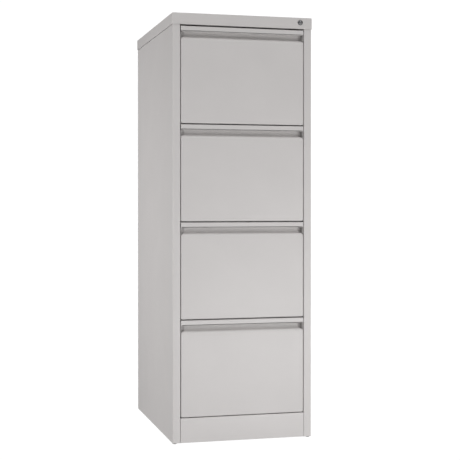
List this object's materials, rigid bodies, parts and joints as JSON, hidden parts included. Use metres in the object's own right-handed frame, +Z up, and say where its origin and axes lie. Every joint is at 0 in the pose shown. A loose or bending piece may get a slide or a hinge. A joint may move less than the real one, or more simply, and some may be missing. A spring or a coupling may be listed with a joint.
{
  "type": "filing cabinet",
  "caption": "Tall upright metal filing cabinet: full-width drawers with recessed pulls on telescopic slides, a folded top cover and a cylinder lock that works a lifting bar.",
  "frame": {"origin": "on the floor, at the centre of the whole object's box seen from above", "axes": "+X to the right seen from the front, the drawers open towards -Y, +Z up"},
  "size_m": [0.452, 0.622, 1.33],
  "materials": {
    "body_paint": "satin light grey powder coat",
    "drawer_paint": "satin light grey powder coat",
    "slide_zinc": "bright zinc plating",
    "zinc": "dull zinc plating",
    "lock_ring": "dark polished metal",
    "lock_face": "dark polished metal",
    "feet": "black moulded nylon"
  },
  "bodies": {
    "carcass": {"left_side_panel": "body_paint", "right_side_panel": "body_paint", "back_panel": "body_paint", "top_cover": "body_paint", "plinth_panel": "body_paint", "base_pan": "body_paint", "front_left_foot": "feet", "rear_left_foot": "feet", "front_right_foot": "feet", "rear_right_foot": "feet", "left_front_upright": "body_paint", "right_front_upright": "body_paint", "front_cross_rail_1": "body_paint", "front_cross_rail_2": "body_paint", "front_cross_rail_3": "body_paint", "lock_barrel": "lock_ring", "lock_nut": "zinc", "drawer_1_left_outer_slide": "slide_zinc", "drawer_1_right_outer_slide": "slide_zinc", "drawer_2_left_outer_slide": "slide_zinc", "drawer_2_right_outer_slide": "slide_zinc", "drawer_3_left_outer_slide": "slide_zinc", "drawer_3_right_outer_slide": "slide_zinc", "drawer_4_left_outer_slide": "slide_zinc", "drawer_4_right_outer_slide": "slide_zinc"},
    "drawer_1": {"drawer_1_front": "drawer_paint", "drawer_1_inner_panel": "drawer_paint", "drawer_1_tray": "drawer_paint", "drawer_1_lock_catch": "zinc", "drawer_1_left_inner_slide": "slide_zinc", "drawer_1_right_inner_slide": "slide_zinc"},
    "drawer_1_middle_members": {"drawer_1_left_middle_slide": "slide_zinc", "drawer_1_right_middle_slide": "slide_zinc"},
    "drawer_2": {"drawer_2_front": "drawer_paint", "drawer_2_inner_panel": "drawer_paint", "drawer_2_tray": "drawer_paint", "drawer_2_lock_catch": "zinc", "drawer_2_left_inner_slide": "slide_zinc", "drawer_2_right_inner_slide": "slide_zinc"},
    "drawer_2_middle_members": {"drawer_2_left_middle_slide": "slide_zinc", "drawer_2_right_middle_slide": "slide_zinc"},
    "drawer_3": {"drawer_3_front": "drawer_paint", "drawer_3_inner_panel": "drawer_paint", "drawer_3_tray": "drawer_paint", "drawer_3_lock_catch": "zinc", "drawer_3_left_inner_slide": "slide_zinc", "drawer_3_right_inner_slide": "slide_zinc"},
    "drawer_3_middle_members": {"drawer_3_left_middle_slide": "slide_zinc", "drawer_3_right_middle_slide": "slide_zinc"},
    "drawer_4": {"drawer_4_front": "drawer_paint", "drawer_4_inner_panel": "drawer_paint", "drawer_4_tray": "drawer_paint", "drawer_4_lock_catch": "zinc", "drawer_4_left_inner_slide": "slide_zinc", "drawer_4_right_inner_slide": "slide_zinc"},
    "drawer_4_middle_members": {"drawer_4_left_middle_slide": "slide_zinc", "drawer_4_right_middle_slide": "slide_zinc"},
    "lock_rotor": {"lock_plug": "lock_face", "lock_cam": "zinc"},
    "locking_bar": {"lock_bar": "zinc"}
  },
  "joints": [
    {"name": "drawer_1_slide", "type": "slide", "parent": "carcass", "child": "drawer_1", "axis": [0, -1, 0], "range_m": [0, 0.53]},
    {"name": "drawer_1_middle_slide", "type": "slide", "parent": "carcass", "child": "drawer_1_middle_members", "axis": [0, -1, 0], "range_m": [0, 0.2655]},
    {"name": "drawer_2_slide", "type": "slide", "parent": "carcass", "child": "drawer_2", "axis": [0, -1, 0], "range_m": [0, 0.53]},
    {"name": "drawer_2_middle_slide", "type": "slide", "parent": "carcass", "child": "drawer_2_middle_members", "axis": [0, -1, 0], "range_m": [0, 0.2655]},
    {"name": "drawer_3_slide", "type": "slide", "parent": "carcass", "child": "drawer_3", "axis": [0, -1, 0], "range_m": [0, 0.53]},
    {"name": "drawer_3_middle_slide", "type": "slide", "parent": "carcass", "child": "drawer_3_middle_members", "axis": [0, -1, 0], "range_m": [0, 0.2655]},
    {"name": "drawer_4_slide", "type": "slide", "parent": "carcass", "child": "drawer_4", "axis": [0, -1, 0], "range_m": [0, 0.53]},
    {"name": "drawer_4_middle_slide", "type": "slide", "parent": "carcass", "child": "drawer_4_middle_members", "axis": [0, -1, 0], "range_m": [0, 0.2655]},
    {"name": "lock_bar_lift", "type": "slide", "parent": "carcass", "child": "locking_bar", "axis": [0, 0, 1], "range_m": [0, 0.01202]},
    {"name": "lock_turn", "type": "hinge", "parent": "carcass", "child": "lock_rotor", "pos_m": [0.187, -0.3, 1.3145], "axis": [0, -1, 0], "range_deg": [0, 90]}
  ],
  "couplings": [
    {"joint": "drawer_1_middle_slide", "follows": "drawer_1_slide", "ratio": 0.5},
    {"joint": "drawer_2_middle_slide", "follows": "drawer_2_slide", "ratio": 0.5},
    {"joint": "drawer_3_middle_slide", "follows": "drawer_3_slide", "ratio": 0.5},
    {"joint": "drawer_4_middle_slide", "follows": "drawer_4_slide", "ratio": 0.5},
    {"joint": "lock_turn", "follows": "lock_bar_lift", "rad_per_m": 130.68}
  ]
}
